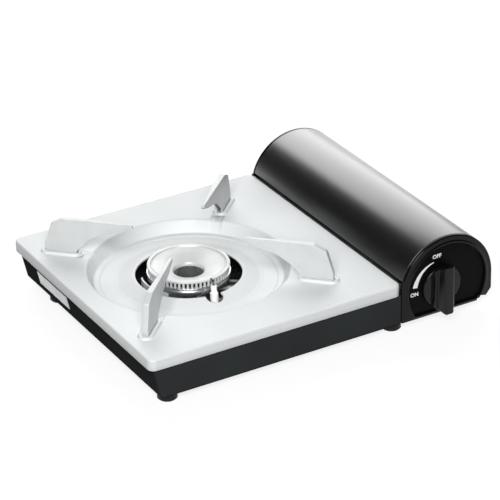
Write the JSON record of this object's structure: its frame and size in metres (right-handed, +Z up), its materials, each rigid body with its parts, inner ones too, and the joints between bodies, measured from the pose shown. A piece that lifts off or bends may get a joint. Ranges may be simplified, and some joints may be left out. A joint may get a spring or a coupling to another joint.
{
  "type": "butane cassette stove",
  "caption": "Portable cassette stove: silver top plate with a burner well and folded pot supports, black tray body, ignition knob and a hinged arched lid over the gas cartridge bay.",
  "frame": {"origin": "middle of the footprint, on the table under the rubber feet", "axes": "+X to the side with the cartridge lid, +Y to the back (the knob faces -Y), +Z up"},
  "size_m": [0.368, 0.296, 0.087],
  "materials": {
    "plate_silver": "silver enamel, satin, fine flake",
    "tray_black": "black enamel, satin",
    "lid_black": "black enamel, semi-gloss",
    "cap_black": "black moulding, semi-gloss",
    "knob_black": "black moulding, semi-gloss",
    "support_steel": "silver-coated folded sheet",
    "burner_aluminium": "die-cast, sand finish",
    "burner_cap_metal": "die-cast, polished rim",
    "zinc_steel": "zinc-plated sheet",
    "pin_black": "blackened steel",
    "tube_steel": "heat-darkened steel",
    "screw_steel": "zinc-plated screws",
    "brass": "turned brass",
    "zinc_casting": "die-cast regulator body",
    "magnet": "ferrite, matt",
    "seal_rubber": "black rubber",
    "foot_rubber": "black rubber, matt",
    "ceramic_white": "glazed white ceramic",
    "electrode_wire": "heat-resistant wire",
    "lead_silicone": "silicone sleeve",
    "inner_plastic": "cream engineering plastic",
    "rail_plastic": "dark engineering plastic",
    "heat_aluminium": "bare aluminium sheet",
    "badge_white": "bare silver-white name plate"
  },
  "bodies": {
    "stove": {"body_tray": "tray_black", "top_plate": "plate_silver", "pot_support_front_left": "support_steel", "pot_support_front_right": "support_steel", "pot_support_back_left": "support_steel", "pot_support_back_right": "support_steel", "front_end_cap": "cap_black", "rear_end_cap": "cap_black", "control_panel": "cap_black", "bay_bulkhead": "tray_black", "partition_wall": "zinc_steel", "cartridge_rails": "rail_plastic", "heat_plate": "heat_aluminium", "burner_body": "burner_aluminium", "burner_cap": "burner_cap_metal", "burner_bracket": "zinc_steel", "burner_screws": "screw_steel", "mixing_tube": "tube_steel", "gas_nozzle": "brass", "electrode_ceramic": "ceramic_white", "electrode_pin": "electrode_wire", "electrode_bracket": "zinc_steel", "ignition_lead": "lead_silicone", "igniter_body": "inner_plastic", "governor_body": "zinc_casting", "governor_cover": "zinc_casting", "governor_screws": "screw_steel", "magnet_ring": "magnet", "inlet_socket": "brass", "inlet_seal": "seal_rubber", "hinge_pin_front": "pin_black", "hinge_pin_rear": "pin_black", "foot_front_left": "foot_rubber", "foot_front_right": "foot_rubber", "foot_back_left": "foot_rubber", "foot_back_right": "foot_rubber", "plate_pillars": "zinc_steel", "plate_screws": "screw_steel", "end_cap_screws": "screw_steel", "side_badge": "badge_white", "lid_bumpers": "seal_rubber"},
    "lid": {"lid_shell": "lid_black"},
    "knob": {"control_knob": "knob_black", "valve_shaft": "zinc_steel", "igniter_cam": "inner_plastic"},
    "plunger": {"igniter_plunger": "inner_plastic"},
    "needle": {"valve_needle": "brass"},
    "ejector": {"ejector_pin": "electrode_wire"}
  },
  "joints": [
    {"name": "lid_hinge", "type": "hinge", "parent": "stove", "child": "lid", "pos_m": [0.176, 0, 0.0185], "axis": [0, 1, 0], "range_deg": [0, 105]},
    {"name": "knob_turn", "type": "hinge", "parent": "stove", "child": "knob", "pos_m": [0.1254, -0.132, 0.0383], "axis": [0, -1, 0], "range_deg": [0, 90]},
    {"name": "igniter_push", "type": "slide", "parent": "stove", "child": "plunger", "axis": [-1, 0, 0], "range_m": [0, 0.0045]},
    {"name": "needle_slide", "type": "slide", "parent": "stove", "child": "needle", "axis": [0, -1, 0], "range_m": [0, 0.002]},
    {"name": "ejector_slide", "type": "slide", "parent": "stove", "child": "ejector", "axis": [0, -1, 0], "range_m": [0, 0.003], "stiffness_N_per_m": 200}
  ],
  "couplings": [
    {"joint": "igniter_push", "follows": "knob_turn", "m_per_rad": 0.002864},
    {"joint": "needle_slide", "follows": "knob_turn", "m_per_rad": 0.001273}
  ]
}
